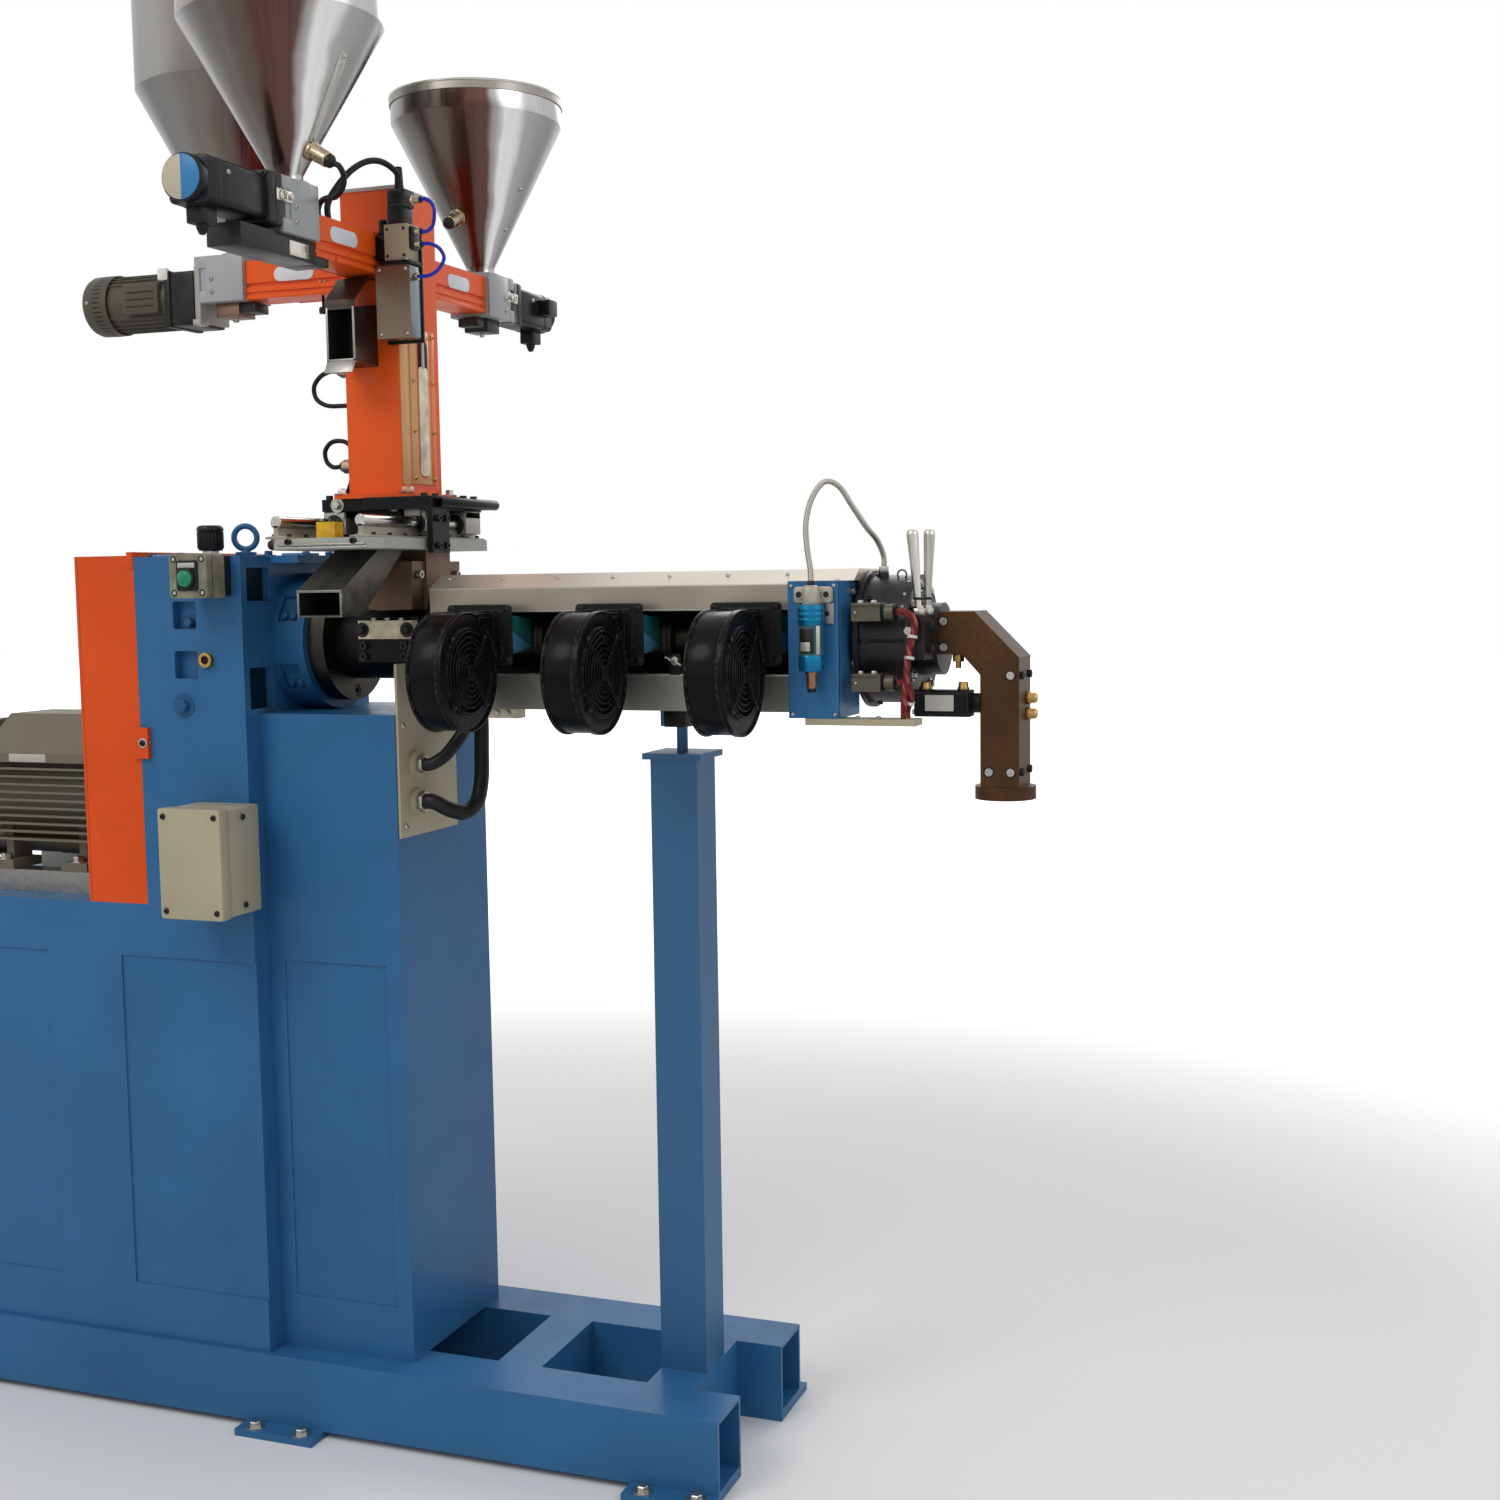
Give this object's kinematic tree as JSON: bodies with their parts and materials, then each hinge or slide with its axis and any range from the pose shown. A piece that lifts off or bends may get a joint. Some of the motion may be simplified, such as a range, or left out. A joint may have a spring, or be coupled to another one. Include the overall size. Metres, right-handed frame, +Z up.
{
  "type": "plastic extruder",
  "caption": "Single-screw plastic extruder on a skid, with motor, gearbox, covered barrel with blowers, bent melt outlet and a sliding dosing column with hoppers.",
  "frame": {"origin": "on the floor below the front face of the neck flange, on the barrel's centre plane", "axes": "+X along the barrel towards the melt outlet, +Y away from the blower side, +Z up"},
  "size_m": [2.0235, 1.112, 2.517],
  "materials": {
    "blue_paint": "gloss blue enamel",
    "orange_paint": "gloss orange enamel",
    "light_grey_paint": "satin light grey",
    "cream_paint": "satin cream",
    "motor_paint": "satin olive grey",
    "black_paint": "satin black",
    "stainless": "brushed stainless steel",
    "dark_steel": "heat-tinted steel",
    "grey_steel": "plain machined steel",
    "rail_steel": "ground and polished",
    "alloy": "machined aluminium",
    "blue_alloy": "blue anodised",
    "brass": "plain brass",
    "teal_duct": "teal green",
    "ceramic": "cream ceramic",
    "black_plastic": "black moulding",
    "grey_plastic": "grey moulding",
    "green_plastic": "green button",
    "yellow_plastic": "yellow polyurethane",
    "black_rubber": "black hose",
    "lead_sleeve": "sleeved lead",
    "blue_tube": "blue air tube"
  },
  "bodies": {
    "machine": {"skid_rails": "blue_paint", "skid_crossmembers": "blue_paint", "drive_stand": "blue_paint", "pedestal": "blue_paint", "side_panel": "cream_paint", "panel_hoses": "black_rubber", "motor_rails": "grey_steel", "drive_motor": "motor_paint", "lifting_eyes": "blue_paint", "belt_guard": "orange_paint", "gearbox_housing": "blue_paint", "gearbox_fittings": "brass", "breather_cap": "black_plastic", "push_button_box": "grey_plastic", "start_button": "green_plastic", "junction_box": "cream_paint", "thrust_housing": "blue_paint", "neck_flange": "dark_steel", "feed_housing": "black_paint", "ceramic_terminals": "ceramic", "feed_throat": "dark_steel", "slide_plate": "light_grey_paint", "purge_chute": "grey_steel", "slide_rails": "rail_steel", "barrel": "dark_steel", "heater_bands": "grey_steel", "upper_cover": "stainless", "lower_cover": "grey_steel", "blower_ducts": "teal_duct", "blowers": "black_plastic", "blower_grilles": "black_plastic", "terminal_box": "blue_paint", "pressure_transmitter": "blue_alloy", "head_leads": "lead_sleeve", "head_flange": "dark_steel", "clamp_handles": "rail_steel", "heater_terminals": "grey_steel", "cable_rail": "cream_paint", "melt_adapter": "dark_steel", "outlet_flange": "dark_steel", "valve_cylinder": "black_paint", "barrel_support": "blue_paint", "slide_stop": "yellow_plastic"},
    "dosing_station": {"slide_carriage": "black_paint", "slide_bearings": "alloy", "dosing_column": "orange_paint", "sight_strip": "cream_paint", "level_sensors": "brass", "column_leads": "lead_sleeve", "valve_cover": "stainless", "air_valve": "cream_paint", "air_tubes": "blue_tube", "sampling_spout": "grey_steel", "dosing_arms": "orange_paint", "dosing_blocks": "alloy", "dosing_motors": "motor_paint", "hopper_front": "stainless", "hopper_left": "stainless", "hopper_rear": "stainless", "hopper_lids": "stainless"}
  },
  "joints": [
    {"name": "station_slide", "type": "slide", "parent": "machine", "child": "dosing_station", "axis": [0, -1, 0], "range_m": [0, 0.1]}
  ]
}
